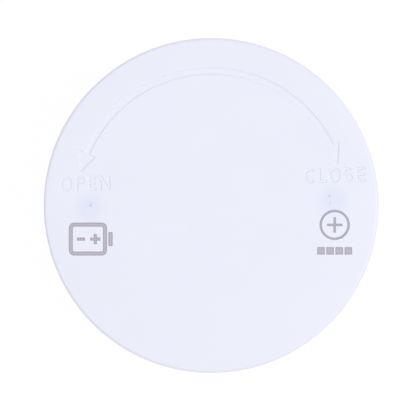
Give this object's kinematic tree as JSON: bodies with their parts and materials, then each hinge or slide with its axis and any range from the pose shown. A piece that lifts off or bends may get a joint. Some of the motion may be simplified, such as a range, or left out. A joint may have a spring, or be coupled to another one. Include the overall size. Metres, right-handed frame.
{
  "type": "bluetooth beacon",
  "caption": "Round white battery beacon with a quarter-turn back cover over a sealed board, push switch and coin cell.",
  "frame": {"origin": "the middle of the flat of the front face, on which the beacon lies", "axes": "+Z along the beacon's axis, out of the flat back cover; +Y towards the antenna, which is the top of the picture; +X to the right of the picture"},
  "size_m": [0.05, 0.05, 0.017],
  "materials": {
    "white_shell": "fine spark-eroded white ABS",
    "silicone_seal": "smooth grey silicone",
    "board_mask": "green solder mask over glass-fibre board",
    "screw_steel": "bright zinc plate",
    "holder_plastic": "satin black moulding",
    "contact_metal": "nickel-plated spring sheet",
    "solder_tin": "bright tin",
    "cell_steel": "nickel-plated deep-drawn steel",
    "cell_gasket": "dark polypropylene",
    "cell_lithium": "dull lithium",
    "cell_fleece": "off-white fleece",
    "cell_pellet": "pressed black powder",
    "switch_plastic": "black moulding",
    "switch_steel": "bright spring steel",
    "plunger_plastic": "satin black moulding",
    "chip_plastic": "matt black moulding compound",
    "crystal_ceramic": "dark ceramic",
    "crystal_lid": "nickel and gold plate",
    "capacitor_ceramic": "tan fired ceramic",
    "inductor_ceramic": "blue-grey fired ceramic",
    "resistor_glaze": "black glaze",
    "pad_gold": "immersion gold",
    "antenna_copper": "copper track under green solder mask",
    "led_plastic": "white reflector",
    "led_lens": "clear dome over a pale yellow phosphor"
  },
  "bodies": {
    "housing": {"front_shell": "white_shell", "circuit_board": "board_mask", "board_screws": "screw_steel", "battery_holder": "holder_plastic", "negative_contact": "contact_metal", "positive_contact": "contact_metal", "solder_joints": "solder_tin", "cell_can": "cell_steel", "cell_cap": "cell_steel", "cell_gasket": "cell_gasket", "cell_anode": "cell_lithium", "cell_separator": "cell_fleece", "cell_cathode": "cell_pellet", "switch_base": "switch_plastic", "switch_dome": "switch_steel", "switch_frame": "switch_steel", "switch_terminals": "solder_tin", "radio_chip": "chip_plastic", "radio_chip_joints": "solder_tin", "radio_crystal": "crystal_ceramic", "clock_crystal": "crystal_ceramic", "crystal_lids": "crystal_lid", "bypass_capacitors": "capacitor_ceramic", "matching_inductors": "inductor_ceramic", "chip_resistors": "resistor_glaze", "reservoir_capacitor": "capacitor_ceramic", "chip_end_caps": "solder_tin", "test_pads": "pad_gold", "antenna_trace": "antenna_copper", "led_base": "led_plastic", "led_ends": "solder_tin", "led_lens": "led_lens"},
    "seal": {"seal_ring": "silicone_seal"},
    "cover": {"back_cover": "white_shell"},
    "button": {"switch_plunger": "plunger_plastic"}
  },
  "joints": [
    {"name": "cover_lift", "type": "slide", "parent": "housing", "child": "seal", "axis": [0, 0, 1], "range_m": [0, 0.03]},
    {"name": "cover_turn", "type": "hinge", "parent": "seal", "child": "cover", "pos_m": [0, 0, 0.0154], "axis": [0, 0, 1], "range_deg": [-28, 0]},
    {"name": "button_press", "type": "slide", "parent": "housing", "child": "button", "axis": [0, 0, -1], "range_m": [0, 0.00025], "stiffness_N_per_m": 400, "deforming": ["switch_dome"]}
  ]
}
